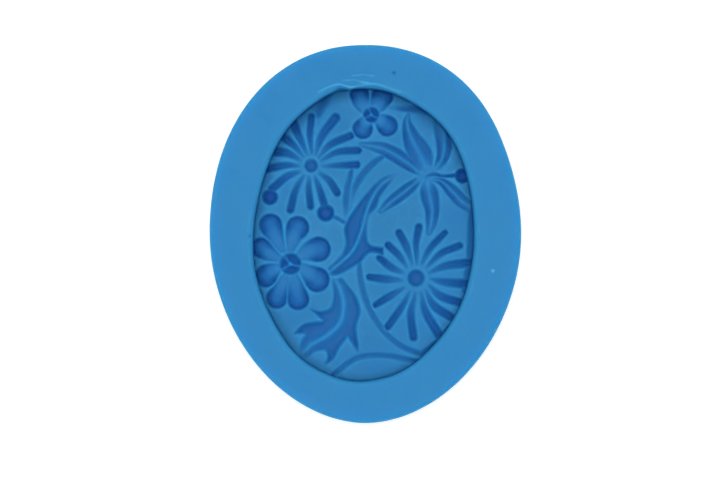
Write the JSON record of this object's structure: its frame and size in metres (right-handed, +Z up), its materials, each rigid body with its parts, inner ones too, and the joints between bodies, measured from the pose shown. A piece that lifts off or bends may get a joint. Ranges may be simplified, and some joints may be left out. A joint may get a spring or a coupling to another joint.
{
  "type": "silicone soap mould",
  "caption": "Oval thick-walled silicone soap mould, open at the top, with a floral pattern sunk into the cavity floor.",
  "frame": {"origin": "centre of the underside, on the surface that the mould rests on", "axes": "+Z up out of the cavity, +Y along the length towards the broad end, +X to the right seen from above"},
  "size_m": [0.0834, 0.1012, 0.028],
  "materials": {
    "blue_silicone": "satin cast silicone"
  },
  "bodies": {
    "root": {"outer_wall": "blue_silicone", "base_slab": "blue_silicone", "small_blossom_panel": "blue_silicone", "eight_petal_flower_panel": "blue_silicone", "left_aster_panel": "blue_silicone", "scroll_leaf_panel": "blue_silicone", "acanthus_leaf_panel": "blue_silicone", "right_aster_panel": "blue_silicone", "lily_panel": "blue_silicone", "grass_blade_panel": "blue_silicone", "sprig_stem_panel": "blue_silicone"}
  },
  "joints": []
}
